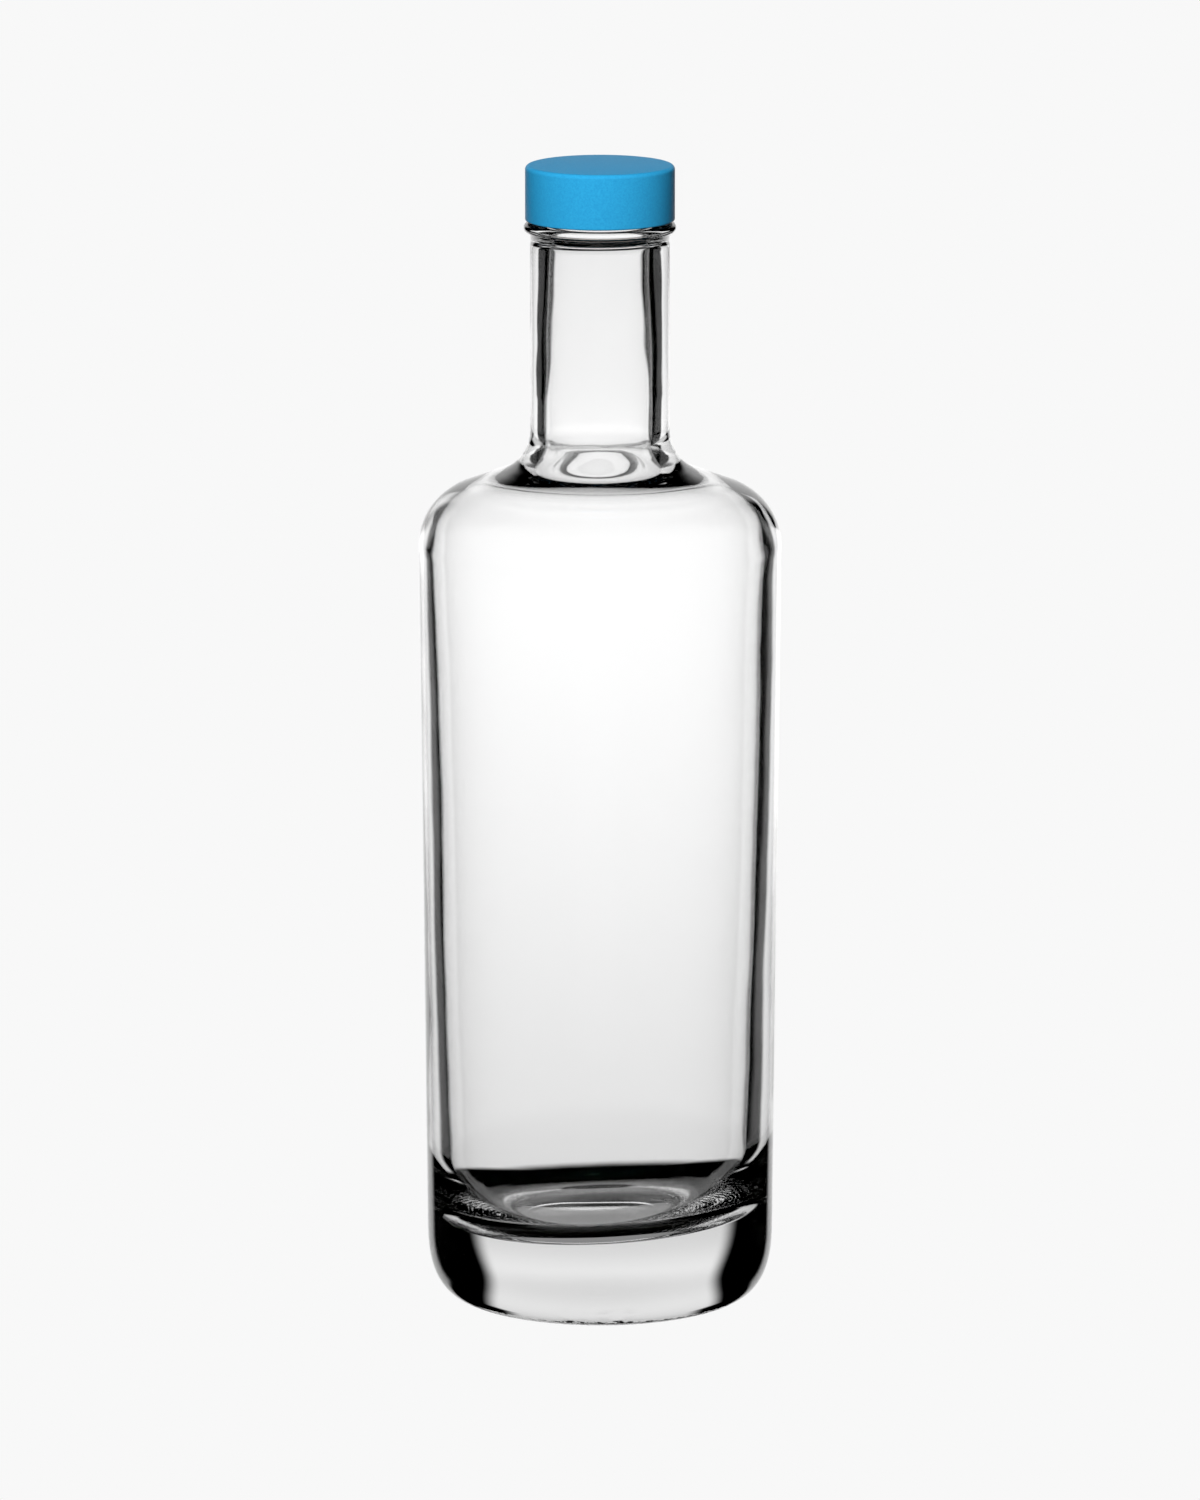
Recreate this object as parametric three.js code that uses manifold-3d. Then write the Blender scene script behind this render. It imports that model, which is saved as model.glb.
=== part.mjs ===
// A heavy-based glass bottle with a matte screw cap and its sealing liner.
// Millimetres, +Z up. The origin is on the bottle's axis, in the plane that it stands on.
import * as THREE from "three";
import { mergeVertices } from "three/addons/utils/BufferGeometryUtils.js";
import Module from "manifold-3d";

const wasm = await Module();
wasm.setup();

// Bottle, outside
const bottleHeight = 232.6; // the lip's sealing face
const bodyTop = 157.6; // where the straight side meets the shoulder
const bodyRadius = 36.95; // at bodyTop
const sideTaper = 1.45; // how much slimmer the side is at the top of the heel
const heelHeight = 18.1;
const heelSquareness = 3; // exponent of the heel's curve: 2 is an ellipse, more is squarer
const bearingRadius = 21.75; // outer edge of the flat ring that the bottle stands on
const bearingWidth = 1.8;
const pushUp = 3.2; // rise of the hollow under the base
const shoulderRadius = 12.75;
const shoulderSlope = THREE.MathUtils.degToRad(19.9); // of the short cone inside the shoulder
const neckFlare = 9.2; // radius of the hollow curve between shoulder and neck
const neckRadius = 14.2;

// Bottle, inside
const wall = 3.2; // side, under the shoulder
const footWall = 4.7; // side, just above the heel
const neckWall = 3.3;
const baseThickness = 17; // glass under the lowest point of the inside
const coveHeight = 17; // the inside's rounded corner
const coveWidth = 11;
const coveSquareness = 2;
const kickHeight = 2; // the inside floor's low dome
const domeDrop = 1.8; // the inside's shoulder begins this far below bodyTop
const domeFootPull = 6.2; // how far its curve keeps to the side's direction
const domeRise = 13; // its inner end is this far above bodyTop
const domeReach = 5.3; // and this far out from the neck's outside
const domeFullness = 0.917; // 1 draws the curve's end out to the side, less makes a flatter shoulder
const domeSlope = THREE.MathUtils.degToRad(14.5);
const domeFlare = 7.4; // radius of the hollow curve into the neck's bore
const boreRadius = 10; // at the lip
const boreTaper = 36; // length in which the bore opens out to the neck's inside

// Neck finish: the usual 28 mm continuous thread
const rootRadius = 12.6;
const crestRadius = 13.65;
const lipEdge = 0.8;
const pitch = 25.4 / 6; // one turn's rise, right-handed
const threadTurns = 1.25;
const threadFade = 0.12; // turns in which a thread rises to full height at each end
const threadRootWidth = 2.2;
const threadCrestWidth = 0.9;
const threadFromBead = 1.5; // middle of the thread's low end, above the bead
const threadToLip = 2.01; // and of its high end, below the lip
const beadRadius = 15.5;
const beadHeight = 1.9;

// Cap and liner
const threadClearance = 0.3; // between the cap's and the bottle's threads, in radius
const skirtGap = 0.5; // from the bead to the cap's rim
const seatGap = 0.1; // under and over the liner
const linerThickness = 1.1;
const linerClearance = 0.3; // around the liner, in radius
const capWall = 1.25;
const capTopWall = 1.7;
const capCorner = 0.9;
const capRimEdge = 0.35;
const capThreadFromRim = 1.7; // middle of the cap thread's low end, above the rim
const capThreadRootWidth = 1.9;
const capThreadCrestWidth = 0.8;

// Fineness
const segments = 48; // facets round the axis
const arcSteps = 4; // per quarter circle
const curveSteps = 8; // on the heel and the inside's corner
const weld = 0.3; // depth that a thread is sunk into its wall before they are joined

const heelRadius = bodyRadius - sideTaper;
const finishHeight = threadFromBead + threadTurns * pitch + threadToLip;
const beadTop = bottleHeight - finishHeight;
const capRim = beadTop + skirtGap;
const linerBottom = bottleHeight + seatGap;
const capCeiling = linerBottom + linerThickness + seatGap;
const capTop = capCeiling + capTopWall;
const capBore = crestRadius + threadClearance;
const capRadius = capBore + capWall;
const threadStart = beadTop + threadFromBead;

function point(radius, height) {
  return new THREE.Vector2(radius, height);
}

// Points along an arc about (radius, height), angles in quarter circles from the outward direction.
function arc(radius, height, size, from, to) {
  const steps = Math.max(2, Math.round(Math.abs(to - from) * arcSteps));
  return Array.from({ length: steps + 1 }, (_, i) => {
    const angle = (from + ((to - from) * i) / steps) * (Math.PI / 2);
    return point(radius + size * Math.cos(angle), height + size * Math.sin(angle));
  });
}

// A rounded corner from upright at (outer, low + rise) to level at (inner, low).
function corner(outer, inner, low, rise, squareness) {
  return Array.from({ length: curveSteps + 1 }, (_, i) => {
    const angle = ((i / curveSteps) * Math.PI) / 2;
    const across = Math.cos(angle) ** (2 / squareness);
    const down = Math.sin(angle) ** (2 / squareness);
    return point(inner + (outer - inner) * across, low + rise * (1 - down));
  });
}

// The outside from the side up over the shoulder and up a hollow curve to the neck.
function shoulder() {
  const turn = 1 - shoulderSlope / (Math.PI / 2);
  const over = arc(bodyRadius - shoulderRadius, bodyTop, shoulderRadius, 0, turn);
  const flareMiddle = neckRadius + neckFlare;
  const flareFoot = flareMiddle - neckFlare * Math.sin(shoulderSlope);
  const coneRise = (over.at(-1).x - flareFoot) * Math.tan(shoulderSlope);
  const flareLevel = over.at(-1).y + coneRise + neckFlare * Math.cos(shoulderSlope);
  return [...over, ...arc(flareMiddle, flareLevel, neckFlare, 2 + turn, 2)];
}

// The inside from the side over its round shoulder and up a hollow curve into the bore.
function dome() {
  const side = bodyRadius - wall;
  const foot = bodyTop - domeDrop;
  const end = neckRadius + domeReach;
  const top = bodyTop + domeRise;
  const across = domeFullness * (side - end);
  const down = across * Math.tan(domeSlope);
  const over = new THREE.CubicBezierCurve(
    point(side, foot),
    point(side, foot + domeFootPull),
    point(end + across, top - down),
    point(end, top),
  );
  const flareMiddle = neckRadius - neckWall + domeFlare;
  const flareFoot = flareMiddle - domeFlare * Math.sin(domeSlope);
  const coneRise = (end - flareFoot) * Math.tan(domeSlope);
  const flareLevel = top + coneRise + domeFlare * Math.cos(domeSlope);
  const turn = 3 - domeSlope / (Math.PI / 2);
  return [...over.getPoints(curveSteps), ...arc(flareMiddle, flareLevel, domeFlare, turn, 2)];
}

function solid(geometry) {
  const bare = geometry.clone();
  bare.deleteAttribute("normal");
  bare.deleteAttribute("uv");
  const merged = mergeVertices(bare, 1e-4);
  const triVerts = new Uint32Array(merged.index.array);
  return new wasm.Manifold(
    new wasm.Mesh({ numProp: 3, vertProperties: merged.attributes.position.array, triVerts }),
  );
}

// A closed profile turned about +Z.
function turned(profile) {
  return solid(new THREE.LatheGeometry(profile, segments).rotateX(Math.PI / 2));
}

// A ridge wound round the axis. It starts fromTurn turns past +X, where its middle is at startLevel.
function wound(foot, crest, footWidth, crestWidth, fromTurn, startLevel) {
  const section = new THREE.Shape([
    point(foot, -footWidth / 2),
    point(crest, -crestWidth / 2),
    point(crest, crestWidth / 2),
    point(foot, footWidth / 2),
  ]);
  const steps = Math.round(threadTurns * segments);
  const ridge = new THREE.ExtrudeGeometry(section, { depth: threadTurns, steps, bevelEnabled: false });
  const vertices = ridge.attributes.position;
  for (let i = 0; i < vertices.count; i++) {
    const turn = vertices.getZ(i);
    const end = Math.min(turn, threadTurns - turn) / threadFade;
    const radius = foot + (vertices.getX(i) - foot) * THREE.MathUtils.lerp(0.2, 1, Math.min(end, 1));
    const angle = (fromTurn + turn) * 2 * Math.PI;
    const level = startLevel + turn * pitch - vertices.getY(i);
    vertices.setXYZ(i, radius * Math.cos(angle), radius * Math.sin(angle), level);
  }
  return solid(ridge);
}

function mesh(name, made, material) {
  const { vertProperties, triVerts } = made.getMesh();
  const geometry = new THREE.BufferGeometry()
    .setAttribute("position", new THREE.BufferAttribute(vertProperties, 3))
    .setIndex(new THREE.BufferAttribute(triVerts, 1));
  const named = new THREE.Mesh(geometry, material);
  named.name = name;
  return named;
}

function bottle() {
  const insideHeel = heelRadius - footWall;
  const bead = beadHeight / 2;
  const profile = [
    ...corner(bearingRadius - bearingWidth, 0, pushUp, -pushUp, 2).reverse(),
    ...corner(heelRadius, bearingRadius, 0, heelHeight, heelSquareness).reverse(),
    ...shoulder(),
    point(neckRadius, beadTop - beadHeight),
    ...arc(beadRadius - bead, beadTop - bead, bead, -1, 1),
    point(rootRadius, beadTop),
    ...arc(rootRadius - lipEdge, bottleHeight - lipEdge, lipEdge, 0, 1),
    ...arc(boreRadius + lipEdge, bottleHeight - lipEdge, lipEdge, 1, 2),
    point(boreRadius, beadTop),
    point(neckRadius - neckWall, beadTop - boreTaper),
    ...dome().reverse(),
    ...corner(insideHeel, insideHeel - coveWidth, baseThickness, coveHeight, coveSquareness),
    point((insideHeel - coveWidth) / 2, baseThickness + kickHeight * 0.75),
    point(0, baseThickness + kickHeight),
  ];
  const ridge = wound(
    rootRadius - weld, crestRadius, threadRootWidth, threadCrestWidth, 0, threadStart,
  );
  return mesh(
    "bottle",
    turned(profile).add(ridge),
    new THREE.MeshStandardMaterial({ color: 0xeef2f1, roughness: 0.03, metalness: 0 }),
  );
}

function cap() {
  const profile = [
    point(0, capCeiling),
    point(capBore, capCeiling),
    point(capBore, capRim + capRimEdge),
    point(capBore + capRimEdge, capRim),
    ...arc(capRadius - capRimEdge, capRim + capRimEdge, capRimEdge, -1, 0),
    ...arc(capRadius - capCorner, capTop - capCorner, capCorner, 0, 1),
    point(0, capTop),
  ];
  // The cap's thread runs half a pitch above the bottle's, so the two never meet as it turns.
  const low = capRim + capThreadFromRim;
  const fromTurn = (low - threadStart - pitch / 2) / pitch;
  const ridge = wound(
    capBore + weld, rootRadius + threadClearance, capThreadRootWidth, capThreadCrestWidth, fromTurn, low,
  );
  return mesh(
    "cap",
    turned(profile).add(ridge),
    new THREE.MeshStandardMaterial({ color: 0x1f93d2, roughness: 0.55, metalness: 0 }),
  );
}

function liner() {
  const radius = capBore - linerClearance;
  const profile = [
    point(0, linerBottom),
    point(radius, linerBottom),
    point(radius, linerBottom + linerThickness),
    point(0, linerBottom + linerThickness),
  ];
  return mesh(
    "liner",
    turned(profile),
    new THREE.MeshStandardMaterial({ color: 0xf2f1ec, roughness: 0.8, metalness: 0 }),
  );
}

const group = new THREE.Group();
group.add(bottle(), cap(), liner());

export default group;
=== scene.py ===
"""A clear glass bottle with a heavy base, a short neck and a matte blue screw cap, in a small studio."""

import math

import bmesh
import bpy
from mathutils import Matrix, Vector, noise


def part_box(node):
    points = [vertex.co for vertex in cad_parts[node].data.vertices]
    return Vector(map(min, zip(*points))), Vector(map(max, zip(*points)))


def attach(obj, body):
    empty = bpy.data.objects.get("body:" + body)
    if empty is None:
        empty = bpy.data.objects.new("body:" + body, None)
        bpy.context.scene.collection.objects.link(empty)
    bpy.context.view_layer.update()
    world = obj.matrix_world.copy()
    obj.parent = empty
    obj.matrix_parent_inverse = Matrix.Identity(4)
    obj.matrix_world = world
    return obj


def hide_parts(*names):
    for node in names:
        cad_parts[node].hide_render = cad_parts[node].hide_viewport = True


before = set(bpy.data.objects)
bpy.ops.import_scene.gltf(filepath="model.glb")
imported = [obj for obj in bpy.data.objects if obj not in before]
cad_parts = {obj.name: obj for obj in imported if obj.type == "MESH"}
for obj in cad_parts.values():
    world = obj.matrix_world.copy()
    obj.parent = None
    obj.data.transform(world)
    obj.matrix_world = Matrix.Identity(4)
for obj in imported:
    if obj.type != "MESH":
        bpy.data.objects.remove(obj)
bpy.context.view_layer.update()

MM = 0.001
TURN = 2 * math.pi

# Places taken from the frame
BOTTLE_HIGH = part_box("bottle")[1]
CAP_LOW, CAP_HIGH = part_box("cap")
LINER_LOW, LINER_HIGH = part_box("liner")
LIP = BOTTLE_HIGH.z
BODY_RADIUS = BOTTLE_HIGH.x
CAP_RADIUS = CAP_HIGH.x

# The bottle's own sizes, in metres
BODY_TOP = LIP - 75.0 * MM
SIDE_TAPER = 1.45 * MM
HEEL_RADIUS = BODY_RADIUS - SIDE_TAPER
HEEL_HEIGHT = 18.1 * MM
HEEL_SQUARENESS = 3.0
BEARING_RADIUS = 21.75 * MM
BEARING_WIDTH = 1.8 * MM
PUSH_UP = 3.2 * MM
SHOULDER_RADIUS = 12.75 * MM
SHOULDER_SLOPE = math.radians(19.9)
NECK_FLARE = 9.2 * MM
NECK_RADIUS = 14.2 * MM
WALL = 3.2 * MM
FOOT_WALL = 4.7 * MM
NECK_WALL = 3.3 * MM
BASE_THICKNESS = 17.0 * MM
COVE_HEIGHT = 17.0 * MM
COVE_WIDTH = 11.0 * MM
COVE_SQUARENESS = 2.0
KICK_HEIGHT = 2.0 * MM
FLOOR_TILT = 0.05
LEAN = -0.25 * MM
WAVE = 0.22 * MM
NECK_WAVE = 0.07 * MM
LONG_WAVE = 38 * MM
SHORT_WAVE = 11 * MM
NECK_WAVELENGTH = 5 * MM
DOME_FOOT = LIP - 76.8 * MM
DOME_FOOT_PULL = 6.2 * MM
DOME_TOP = LIP - 62.0 * MM
DOME_TOP_RADIUS = 19.5 * MM
DOME_TOP_PULL = 13.5 * MM
DOME_SLOPE = math.radians(14.5)
DOME_FLARE = 7.4 * MM
BORE_RADIUS = 10.0 * MM
BORE_TAPER = 36.0 * MM
FINISH_HEIGHT = 8.8 * MM
BEAD_TOP = LIP - FINISH_HEIGHT
BEAD_RADIUS = 15.5 * MM
BEAD_HEIGHT = 1.9 * MM
ROOT_RADIUS = 12.6 * MM
CREST_RADIUS = 13.65 * MM
LIP_EDGE = 0.8 * MM
PITCH = 25.4 / 6 * MM
THREAD_TURNS = 1.25
THREAD_FADE = 0.12
THREAD_START = BEAD_TOP + 1.5 * MM
THREAD_ROOT_WIDTH = 2.2 * MM
THREAD_CREST_WIDTH = 0.9 * MM

# The cap's
CAP_RIM = CAP_LOW.z
CAP_TOP = CAP_HIGH.z
CAP_CEILING = LINER_HIGH.z + 0.1 * MM
CAP_BORE = CREST_RADIUS + 0.3 * MM
CAP_CORNER = 0.9 * MM
CAP_RIM_EDGE = 0.35 * MM
CAP_THREAD_START = CAP_RIM + 1.7 * MM
CAP_THREAD_CREST = ROOT_RADIUS + 0.3 * MM
CAP_THREAD_ROOT_WIDTH = 1.9 * MM
CAP_THREAD_CREST_WIDTH = 0.8 * MM
CAP_THREAD_TURN = (CAP_THREAD_START - THREAD_START) / PITCH - 0.5

ROUND_STEPS = 240
CAP_STEPS = 240
LINER_STEPS = 120
LONGEST = 3 * MM
THREAD_ROW = 0.18 * MM
KNURLS = 60
KNURL_DEPTH = 0.5 * MM
MARK_HALF_LENGTH = 9 * MM
MARK_HEIGHT = 0.25 * MM


# ---------------------------------------------------------------- shader maths

class Value:
    """A number socket that Python arithmetic works on: each operator adds its Math node."""

    def __init__(self, graph, socket):
        self.graph = graph
        self.socket = socket

    def maths(self, operation, *others):
        inputs = dict(enumerate((self, *others)))
        return self.graph.value("ShaderNodeMath", {"operation": operation}, inputs)

    def __add__(self, other):
        return self.maths("ADD", other)

    __radd__ = __add__

    def __sub__(self, other):
        return self.maths("SUBTRACT", other)

    def __rsub__(self, other):
        return (self * -1) + other

    def __mul__(self, other):
        return self.maths("MULTIPLY", other)

    __rmul__ = __mul__

    def __truediv__(self, other):
        return self.maths("DIVIDE", other)

    def step(self, low, high):
        """0 below low, 1 above high and smooth between them; low may be the greater."""
        if low > high:
            return 1 - self.step(high, low)
        settings = {"interpolation_type": "SMOOTHSTEP"}
        inputs = {"Value": self, "From Min": low, "From Max": high}
        return self.graph.value("ShaderNodeMapRange", settings, inputs, "Result")


class Graph:
    """The node tree of a material or the world."""

    def __init__(self, owner):
        owner.use_nodes = True
        self.tree = owner.node_tree
        self.tree.nodes.clear()

    def add(self, kind, settings=None, inputs=None):
        """Any node: its settings first, then its sockets' values or links."""
        node = self.tree.nodes.new(kind)
        for name, setting in (settings or {}).items():
            setattr(node, name, setting)
        for name, given in (inputs or {}).items():
            given = given.socket if isinstance(given, Value) else given
            if isinstance(given, bpy.types.NodeSocket):
                self.tree.links.new(given, node.inputs[name])
            else:
                node.inputs[name].default_value = given
        return node

    def value(self, kind, settings=None, inputs=None, output=0):
        return Value(self, self.add(kind, settings, inputs).outputs[output])

    def place(self):
        """Object coordinates, whole and as X, Y and Z."""
        whole = self.add("ShaderNodeTexCoord").outputs["Object"]
        parts = self.add("ShaderNodeSeparateXYZ", inputs={"Vector": whole})
        return whole, *(Value(self, parts.outputs[i]) for i in range(3))

    def noise(self, vector, scale, detail=2.0, roughness=0.5):
        settings = {"noise_dimensions": "3D"}
        inputs = {"Vector": vector, "Scale": scale, "Detail": detail, "Roughness": roughness}
        return self.value("ShaderNodeTexNoise", settings, inputs, "Fac")

    def mix(self, factor, first, second):
        node = self.add("ShaderNodeMix", {"data_type": "RGBA"}, {0: factor, 6: first, 7: second})
        return node.outputs[2]

    def bump(self, height, strength, distance, over=None):
        inputs = {"Height": height, "Strength": strength, "Distance": distance}
        if over:
            inputs["Normal"] = over
        return self.add("ShaderNodeBump", inputs=inputs).outputs["Normal"]

    def finish(self, shader, volume=None, target="ShaderNodeOutputMaterial"):
        output = self.add(target, inputs={"Surface": shader})
        if volume:
            self.tree.links.new(volume, output.inputs["Volume"])


# ---------------------------------------------------------------- materials

def clear_glass():
    material = bpy.data.materials.new("clear_glass")
    graph = Graph(material)
    whole, _, _, z = graph.place()
    ripple = graph.noise(whole, 55.0, 1.0)
    grain = graph.noise(whole, 420.0, 2.0)
    stipple = graph.noise(whole, 900.0, 1.0).step(0.45, 0.6) * z.step(2.2 * MM, 1.2 * MM)
    smoothed = graph.bump(ripple + grain * 0.03, 0.06, 1.0 * MM)
    normal = graph.bump(stipple * 0.4, 0.7, 0.2 * MM, smoothed)
    inputs = {
        "Base Color": (1.0, 1.0, 1.0, 1.0),
        "Roughness": 0.0,
        "IOR": 1.52,
        "Transmission Weight": 1.0,
        "Normal": normal,
    }
    glass = graph.add("ShaderNodeBsdfPrincipled", inputs=inputs).outputs["BSDF"]
    inputs = {"Color": (0.95, 0.95, 0.95, 1), "Density": 100.0}
    body = graph.add("ShaderNodeVolumeAbsorption", inputs=inputs)
    graph.finish(glass, body.outputs[0])
    return material


def matte_blue():
    material = bpy.data.materials.new("matte_blue")
    graph = Graph(material)
    whole = graph.place()[0]
    grain = graph.noise(whole, 5200.0, 2.0, 0.6)
    tone = graph.noise(whole, 2600.0, 1.0)
    colour = graph.mix(tone, (0.012, 0.215, 0.45, 1), (0.024, 0.325, 0.58, 1))
    inputs = {
        "Base Color": colour,
        "Roughness": grain * 0.12 + 0.44,
        "IOR": 1.5,
        "Coat Weight": 0.4,
        "Coat Roughness": 0.5,
        "Normal": graph.bump(grain, 0.8, 0.05 * MM),
    }
    graph.finish(graph.add("ShaderNodeBsdfPrincipled", inputs=inputs).outputs["BSDF"])
    return material


def liner_foam():
    material = bpy.data.materials.new("liner_foam")
    graph = Graph(material)
    whole = graph.place()[0]
    cells = graph.value("ShaderNodeTexVoronoi", {}, {"Vector": whole, "Scale": 2600.0}, "Distance")
    colour = graph.mix(cells, (0.80, 0.79, 0.75, 1), (0.90, 0.89, 0.86, 1))
    inputs = {
        "Base Color": colour,
        "Roughness": cells * 0.2 + 0.7,
        "Normal": graph.bump(cells, 0.5, 0.08 * MM),
    }
    graph.finish(graph.add("ShaderNodeBsdfPrincipled", inputs=inputs).outputs["BSDF"])
    return material


# ---------------------------------------------------------------- outlines

def arc(radius, height, size, start, stop, steps):
    """Points along an arc about (radius, height), angles in quarter circles from the outward direction."""
    points = []
    for i in range(steps + 1):
        angle = (start + (stop - start) * i / steps) * TURN / 4
        points.append((radius + size * math.cos(angle), height + size * math.sin(angle)))
    return points


def corner(outer, inner, low, rise, squareness, steps):
    """A rounded corner from upright at (outer, low + rise) to level at (inner, low)."""
    points = []
    for i in range(steps + 1):
        angle = i / steps * TURN / 4
        across = max(math.cos(angle), 0) ** (2 / squareness)
        down = math.sin(angle) ** (2 / squareness)
        points.append((inner + (outer - inner) * across, low + rise * (1 - down)))
    return points


def shoulder():
    """The outside from the side up over the shoulder to the neck."""
    turn = 1 - SHOULDER_SLOPE / (TURN / 4)
    middle = BODY_RADIUS - SHOULDER_RADIUS
    over = arc(middle, BODY_TOP, SHOULDER_RADIUS, 0, turn, 20)
    flare_middle = NECK_RADIUS + NECK_FLARE
    flare_foot = flare_middle - NECK_FLARE * math.sin(SHOULDER_SLOPE)
    cone_rise = (over[-1][0] - flare_foot) * math.tan(SHOULDER_SLOPE)
    flare_level = over[-1][1] + cone_rise + NECK_FLARE * math.cos(SHOULDER_SLOPE)
    return over + arc(flare_middle, flare_level, NECK_FLARE, 2 + turn, 2, 16)


def bend(start, start_pull, end_pull, end, steps):
    """A cubic curve from start to end, drawn by the two pulls."""
    points = []
    for i in range(steps + 1):
        share = i / steps
        weights = ((1 - share) ** 3, 3 * (1 - share) ** 2 * share, 3 * (1 - share) * share ** 2, share ** 3)
        corners = (start, start_pull, end_pull, end)
        points.append(tuple(sum(w * p[axis] for w, p in zip(weights, corners)) for axis in (0, 1)))
    return points


def dome():
    """The inside from the side over its round shoulder and up a hollow curve into the neck."""
    side = BODY_RADIUS - WALL
    neck = NECK_RADIUS - NECK_WALL
    foot = (side, DOME_FOOT)
    foot_pull = (side, DOME_FOOT + DOME_FOOT_PULL)
    top = (DOME_TOP_RADIUS, DOME_TOP)
    across = DOME_TOP_PULL * math.cos(DOME_SLOPE)
    down = DOME_TOP_PULL * math.sin(DOME_SLOPE)
    top_pull = (DOME_TOP_RADIUS + across, DOME_TOP - down)
    over = bend(foot, foot_pull, top_pull, top, 32)
    middle = neck + DOME_FLARE
    flare_foot = middle - DOME_FLARE * math.sin(DOME_SLOPE)
    rise = (DOME_TOP_RADIUS - flare_foot) * math.tan(DOME_SLOPE)
    level = DOME_TOP + rise + DOME_FLARE * math.cos(DOME_SLOPE)
    return over + arc(middle, level, DOME_FLARE, 3 - DOME_SLOPE / (TURN / 4), 2, 14)


def kicked_floor():
    """The inside of the base: a rounded corner, then a low dome."""
    side = HEEL_RADIUS - FOOT_WALL
    cove = corner(side, side - COVE_WIDTH, BASE_THICKNESS, COVE_HEIGHT, COVE_SQUARENESS, 20)
    flat = side - COVE_WIDTH
    rise = []
    for i in range(1, 25):
        share = 1 - i / 24
        rise.append((flat * share, BASE_THICKNESS + KICK_HEIGHT * (1 + math.cos(TURN / 2 * share)) / 2))
    return cove + rise


def filled(outline, longest):
    """The outline with points added so that no stretch is longer than longest."""
    points = [outline[0]]
    for start, stop in zip(outline, outline[1:]):
        pieces = max(1, math.ceil(math.dist(start, stop) / longest))
        for i in range(1, pieces + 1):
            share = i / pieces
            points.append(tuple(a + (b - a) * share for a, b in zip(start, stop)))
    return points


def bottle_outside():
    """From the middle of the underside up to the bead's upper edge."""
    bead = BEAD_HEIGHT / 2
    ring_inside = BEARING_RADIUS - BEARING_WIDTH
    points = corner(ring_inside, 0, PUSH_UP, -PUSH_UP, 2, 24)[::-1]
    points += corner(HEEL_RADIUS, BEARING_RADIUS, 0, HEEL_HEIGHT, HEEL_SQUARENESS, 28)[::-1]
    points += shoulder()
    points += [(NECK_RADIUS, BEAD_TOP - BEAD_HEIGHT)]
    points += arc(BEAD_RADIUS - bead, BEAD_TOP - bead, bead, -1, 1, 14)
    return points


def finish_outside():
    """From the bead over the threaded finish to the lip."""
    threaded = filled([(ROOT_RADIUS, BEAD_TOP), (ROOT_RADIUS, LIP - LIP_EDGE)], THREAD_ROW)
    return threaded + arc(ROOT_RADIUS - LIP_EDGE, LIP - LIP_EDGE, LIP_EDGE, 0, 1, 8)[1:]


def cap_outline():
    points = [(0, CAP_CEILING)]
    points += filled([(CAP_BORE, CAP_CEILING), (CAP_BORE, CAP_RIM + CAP_RIM_EDGE)], THREAD_ROW)
    points += [(CAP_BORE + CAP_RIM_EDGE, CAP_RIM)]
    points += arc(CAP_RADIUS - CAP_RIM_EDGE, CAP_RIM + CAP_RIM_EDGE, CAP_RIM_EDGE, -1, 0, 5)
    points += arc(CAP_RADIUS - CAP_CORNER, CAP_TOP - CAP_CORNER, CAP_CORNER, 0, 1, 10)
    return points + [(0, CAP_TOP)]


def liner_outline():
    edge = 0.15 * MM
    radius = LINER_HIGH.x
    points = [(0, LINER_LOW.z)]
    points += arc(radius - edge, LINER_LOW.z + edge, edge, -1, 0, 3)
    points += arc(radius - edge, LINER_HIGH.z - edge, edge, 0, 1, 3)
    return points + [(0, LINER_HIGH.z)]


def bottle_inside():
    points = arc(BORE_RADIUS + LIP_EDGE, LIP - LIP_EDGE, LIP_EDGE, 1, 2, 8)
    bore = [(BORE_RADIUS, BEAD_TOP), (NECK_RADIUS - NECK_WALL, BEAD_TOP - BORE_TAPER)]
    points += filled(bore, 1.2 * MM)
    points += dome()[::-1]
    points += kicked_floor()
    return points


# ---------------------------------------------------------------- pieces

def piece(name, mesh, material):
    data = bpy.data.meshes.new(name)
    for face in mesh.faces:
        face.smooth = True
    mesh.to_mesh(data)
    mesh.free()
    data.materials.append(material)
    made = bpy.data.objects.new(name, data)
    bpy.context.scene.collection.objects.link(made)
    return made


def smooth(value, low, high):
    share = min(max((value - low) / (high - low), 0), 1)
    return share * share * (3 - 2 * share)


def tilt_floor(vertex):
    near = 1 - smooth(vertex.co.z, BASE_THICKNESS, BASE_THICKNESS + 50 * MM)
    vertex.co.z += vertex.co.x * FLOOR_TILT * near


def lean_wall(vertex):
    """The wall's thickness wanders a little, and is thinner on one side."""
    radius = math.hypot(vertex.co.x, vertex.co.y)
    outward = Vector((vertex.co.x, vertex.co.y, 0)) / max(radius, 1 * MM)
    place = Vector((vertex.co.x, vertex.co.y, vertex.co.z * 0.6))
    wave = noise.noise(place / LONG_WAVE) * WAVE + noise.noise(place / SHORT_WAVE) * WAVE * 0.15
    in_neck = smooth(vertex.co.z, DOME_TOP, DOME_TOP + 8 * MM)
    wave += noise.noise(place / NECK_WAVELENGTH) * NECK_WAVE * in_neck
    amount = smooth(radius, 8 * MM, 12 * MM) * smooth(LIP - vertex.co.z, 10 * MM, 16 * MM)
    vertex.co += outward * wave * amount
    vertex.co.x += LEAN * amount


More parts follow.
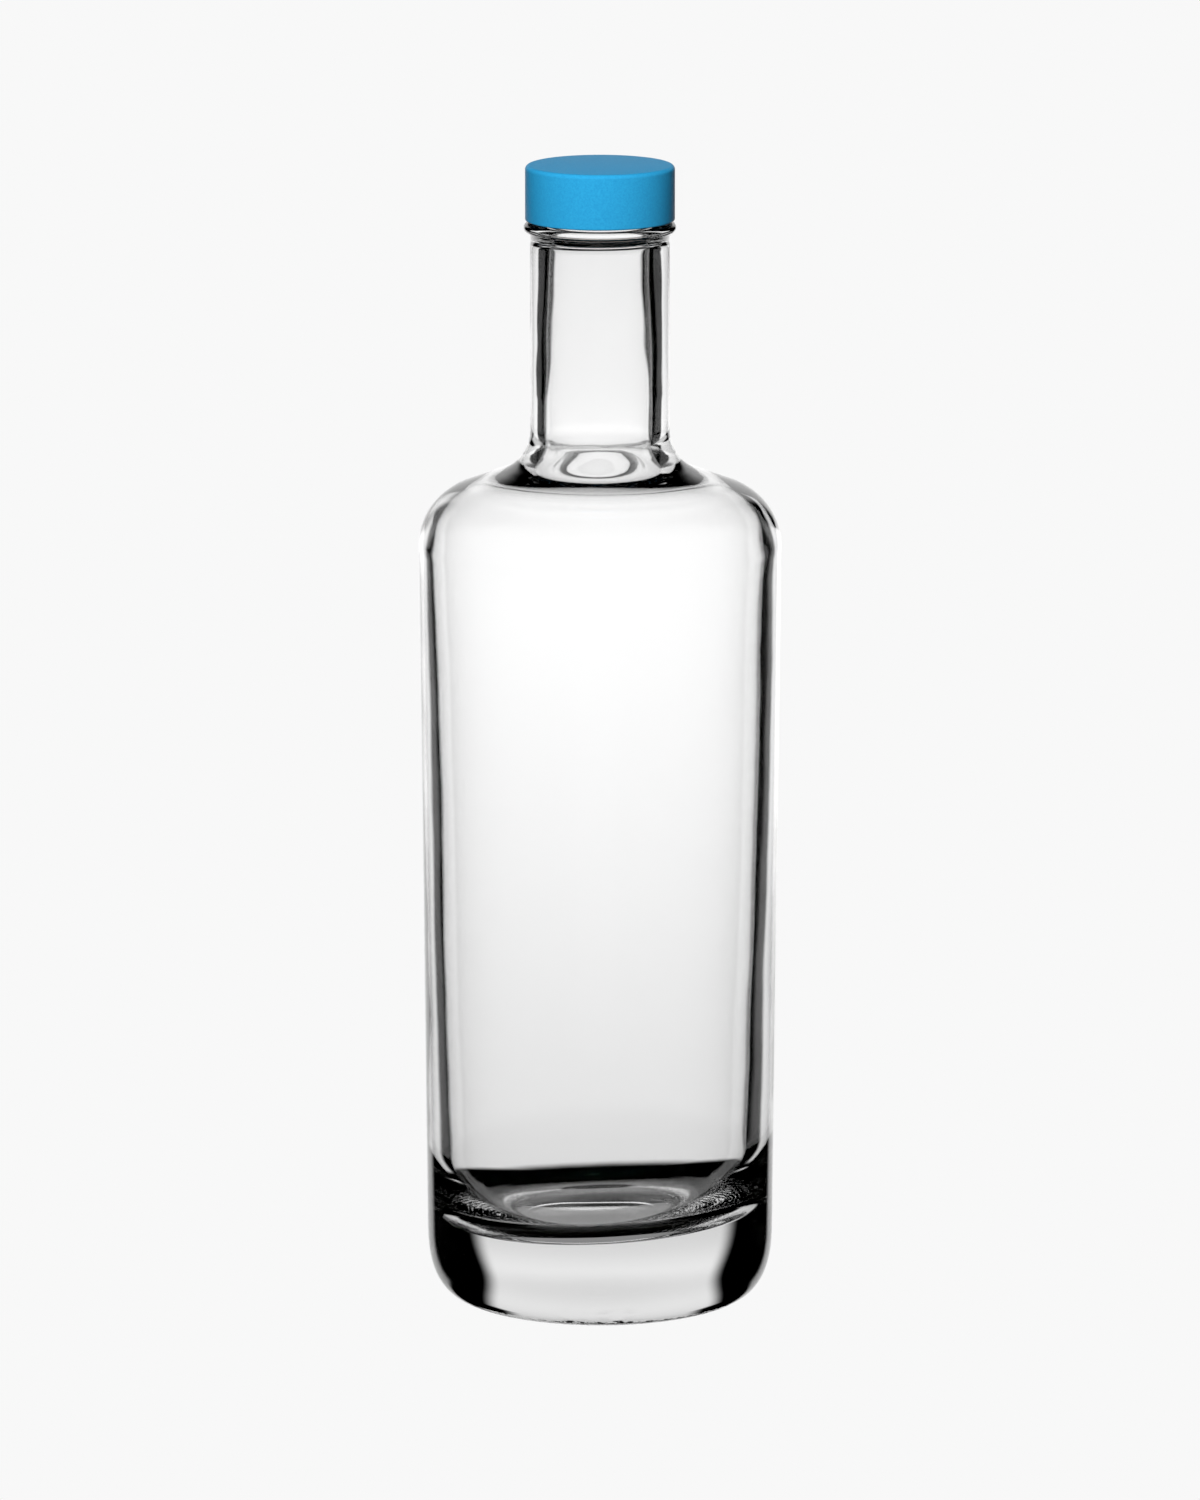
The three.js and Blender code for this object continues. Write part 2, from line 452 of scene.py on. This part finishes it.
def thread(vertex, start_turn, start_level, height, root_width, crest_width):
    """How far the thread stands out at a vertex, from 0 to height."""
    around = math.atan2(vertex.co.y, vertex.co.x) / TURN - start_turn
    flank = (root_width - crest_width) / 2
    tallest = 0
    for winding in range(-2, 3):
        turn = around + winding
        if 0 <= turn <= THREAD_TURNS:
            off = abs(vertex.co.z - start_level - turn * PITCH)
            ends = min(turn, THREAD_TURNS - turn) / THREAD_FADE
            share = smooth(root_width / 2 - off, 0, flank) * smooth(ends, 0, 1)
            tallest = max(tallest, share)
    return tallest * height


def bottle_thread(vertex):
    radius = math.hypot(vertex.co.x, vertex.co.y)
    if vertex.co.z > BEAD_TOP and abs(radius - ROOT_RADIUS) < 0.01 * MM:
        height = CREST_RADIUS - ROOT_RADIUS
        rise = thread(vertex, 0, THREAD_START, height, THREAD_ROOT_WIDTH, THREAD_CREST_WIDTH)
        vertex.co.x *= 1 + rise / radius
        vertex.co.y *= 1 + rise / radius


def knurl(vertex):
    """Short ridges across the ring that the bottle stands on."""
    radius = math.hypot(vertex.co.x, vertex.co.y)
    across = (radius - BEARING_RADIUS + BEARING_WIDTH / 2) / (1.6 * MM)
    if vertex.co.z < 1.2 * MM and abs(across) < 1:
        angle = math.atan2(vertex.co.y, vertex.co.x)
        vertex.co.z += KNURL_DEPTH * (1 - across * across) * (0.5 + 0.5 * math.cos(KNURLS * angle))


def mould_mark(vertex):
    """A short, uneven raised mark low on the front."""
    band = smooth(vertex.co.z, 1.8 * MM, 2.8 * MM) * smooth(-vertex.co.z, -4.8 * MM, -3.8 * MM)
    ends = smooth(-abs(vertex.co.x), -MARK_HALF_LENGTH, -MARK_HALF_LENGTH * 0.8)
    if vertex.co.y < 0 and band * ends > 0:
        uneven = 0.5 + noise.noise(vertex.co / (1.6 * MM))
        radius = math.hypot(vertex.co.x, vertex.co.y)
        rise = MARK_HEIGHT * band * ends * uneven / radius
        vertex.co.x *= 1 + rise
        vertex.co.y *= 1 + rise


def turned(lines, steps):
    """Outlines joined end to end and turned once round +Z; the second one's points are marked inside."""
    mesh = bmesh.new()
    inside = mesh.verts.layers.float.new("inside")
    chain = []
    for number, line in enumerate(lines):
        for radius, height in line:
            chain.append(mesh.verts.new((radius, 0, height)))
            chain[-1][inside] = number
    edges = [mesh.edges.new(pair) for pair in zip(chain, chain[1:])]
    bmesh.ops.spin(
        mesh, geom=chain + edges, axis=(0, 0, 1), cent=(0, 0, 0), dvec=(0, 0, 0),
        angle=TURN, steps=steps, use_merge=True, use_duplicate=False,
    )
    bmesh.ops.remove_doubles(mesh, verts=mesh.verts, dist=1e-6)
    bmesh.ops.recalc_face_normals(mesh, faces=mesh.faces)
    return mesh, inside


def glass_bottle():
    outside_line = filled(bottle_outside(), LONGEST) + finish_outside()
    mesh, inside = turned([outside_line, filled(bottle_inside(), LONGEST)], ROUND_STEPS)
    for vertex in mesh.verts:
        if vertex[inside] > 0.5:
            tilt_floor(vertex)
            lean_wall(vertex)
        else:
            knurl(vertex)
            mould_mark(vertex)
            bottle_thread(vertex)
    made = piece("glass_bottle", mesh, clear_glass())
    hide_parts("bottle")
    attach(made, "bottle")
    return made


def screw_cap():
    mesh, _ = turned([cap_outline()], CAP_STEPS)
    for vertex in mesh.verts:
        radius = math.hypot(vertex.co.x, vertex.co.y)
        if abs(radius - CAP_BORE) < 0.01 * MM:
            height = CAP_BORE - CAP_THREAD_CREST
            rise = thread(
                vertex, CAP_THREAD_TURN, CAP_THREAD_START, height,
                CAP_THREAD_ROOT_WIDTH, CAP_THREAD_CREST_WIDTH,
            )
            vertex.co.x *= 1 - rise / radius
            vertex.co.y *= 1 - rise / radius
    made = piece("screw_cap", mesh, matte_blue())
    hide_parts("cap")
    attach(made, "cap")
    return made


def cap_liner():
    mesh, _ = turned([liner_outline()], LINER_STEPS)
    made = piece("cap_liner", mesh, liner_foam())
    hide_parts("liner")
    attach(made, "liner")
    return made


# ---------------------------------------------------------------- studio

WHITE = (1, 1, 1, 1)
PALE = 0.939
# Painted shade: the dim glow of the disc under the bottle, standing in for the shaded surface seen through
# the base
STAND_SHADE_GLOW = 0.3
CAMERA_DISTANCE = 2.4
CAMERA_HEIGHT = 0.5806
CAMERA_PITCH = math.radians(10.984)
TENT_RADIUS = 0.4
TENT_DISTANCE = 2.5


def studio():
    world = bpy.data.worlds.new("studio")
    bpy.context.scene.world = world
    graph = Graph(world)
    path = graph.add("ShaderNodeLightPath")
    camera = Value(graph, path.outputs["Is Camera Ray"])
    diffuse = Value(graph, path.outputs["Is Diffuse Ray"])
    strength = camera * PALE + diffuse * 0.1
    background = graph.add("ShaderNodeBackground", inputs={"Color": (1, 1, 1, 1), "Strength": strength})
    graph.finish(background.outputs[0], target="ShaderNodeOutputWorld")


def emitter(name, colour, build):
    material = bpy.data.materials.new(name)
    graph = Graph(material)
    strength = build(graph)
    emission = graph.add("ShaderNodeEmission", inputs={"Color": colour, "Strength": strength})
    graph.finish(emission.outputs[0])
    return material


def floor():
    mesh = bmesh.new()
    bmesh.ops.create_grid(mesh, x_segments=1, y_segments=1, size=12.0)
    made = piece("floor", mesh, emitter("pale_floor", WHITE, lambda graph: PALE))
    made.visible_transmission = False
    made.visible_glossy = False
    made.visible_diffuse = False
    return made


def stand():
    """The pale surface as it shows through the bottle's base, as painted shade: a disc that glows dimmer
    than the floor, though it is no lamp, in place of the shaded surface under the bottle.
    """
    mesh = bmesh.new()
    bmesh.ops.create_circle(mesh, cap_ends=True, segments=64, radius=BEARING_RADIUS - BEARING_WIDTH)
    bmesh.ops.translate(mesh, verts=mesh.verts, vec=(0, 0, -0.2 * MM))
    made = piece("stand", mesh, emitter("stand_painted_shade", WHITE, lambda graph: STAND_SHADE_GLOW))
    made.visible_camera = False
    made.visible_diffuse = False
    made.visible_shadow = False
    return made


def camera():
    data = bpy.data.cameras.new("camera")
    data.lens = 286.8
    data.sensor_width = 36
    data.clip_end = 100
    made = bpy.data.objects.new("camera", data)
    made.location = (0, -CAMERA_DISTANCE, CAMERA_HEIGHT)
    made.rotation_euler = (TURN / 4 - CAMERA_PITCH, 0, 0)
    bpy.context.scene.collection.objects.link(made)
    bpy.context.scene.camera = made
    return made


def tent(holder):
    """The light tent round the bottle, which goes with the camera. Only glass and gloss see it."""
    mesh = bmesh.new()
    bmesh.ops.create_icosphere(mesh, subdivisions=5, radius=TENT_RADIUS)

    def glow(graph):
        _, x, y, z = graph.place()
        level = y / TENT_RADIUS
        side = x / TENT_RADIUS
        behind = z.step(0.0, -0.2 * TENT_RADIUS)
        high = level.step(0.22, 0.30) * 0.12
        left = (side - high).step(-0.64, -0.52)
        right = (side + high).step(0.60, 0.48)
        upper = level.step(0.80, 0.62)
        lower = level.step(-0.58, -0.52)
        grade = level.step(-0.38, 0.14) * 0.36 + 0.90
        grade = grade - level.step(0.05, 0.32) * 0.18 - level.step(0.28, 0.46) * 0.17
        return grade * upper * lower * left * right * behind

    made = piece("light_tent", mesh, emitter("tent_cloth", WHITE, glow))
    made.visible_camera = False
    made.visible_diffuse = False
    made.visible_shadow = False
    made.parent = holder
    made.location = (0, 0, -TENT_DISTANCE)
    return made


def softbox(holder, name, place, target, size, power):
    light = bpy.data.lights.new(name, "AREA")
    light.size = size
    light.energy = power
    made = bpy.data.objects.new(name, light)
    made.parent = holder
    made.location = place
    made.rotation_euler = (Vector(place) - Vector(target)).to_track_quat("Z", "Y").to_euler()
    made.visible_transmission = False
    made.visible_glossy = False
    bpy.context.scene.collection.objects.link(made)
    return made


glass_bottle()
screw_cap()
cap_liner()
floor()
stand()
studio()
eye = camera()
tent(eye)
softbox(eye, "key", (-0.22, 0.75, -0.9), (0, 0, -TENT_DISTANCE), 0.5, 49)

scene = bpy.context.scene
scene.view_settings.view_transform = "Standard"
scene.cycles.max_bounces = 32
scene.cycles.transmission_bounces = 24
scene.cycles.glossy_bounces = 12
scene.cycles.caustics_refractive = False
scene.cycles.caustics_reflective = False
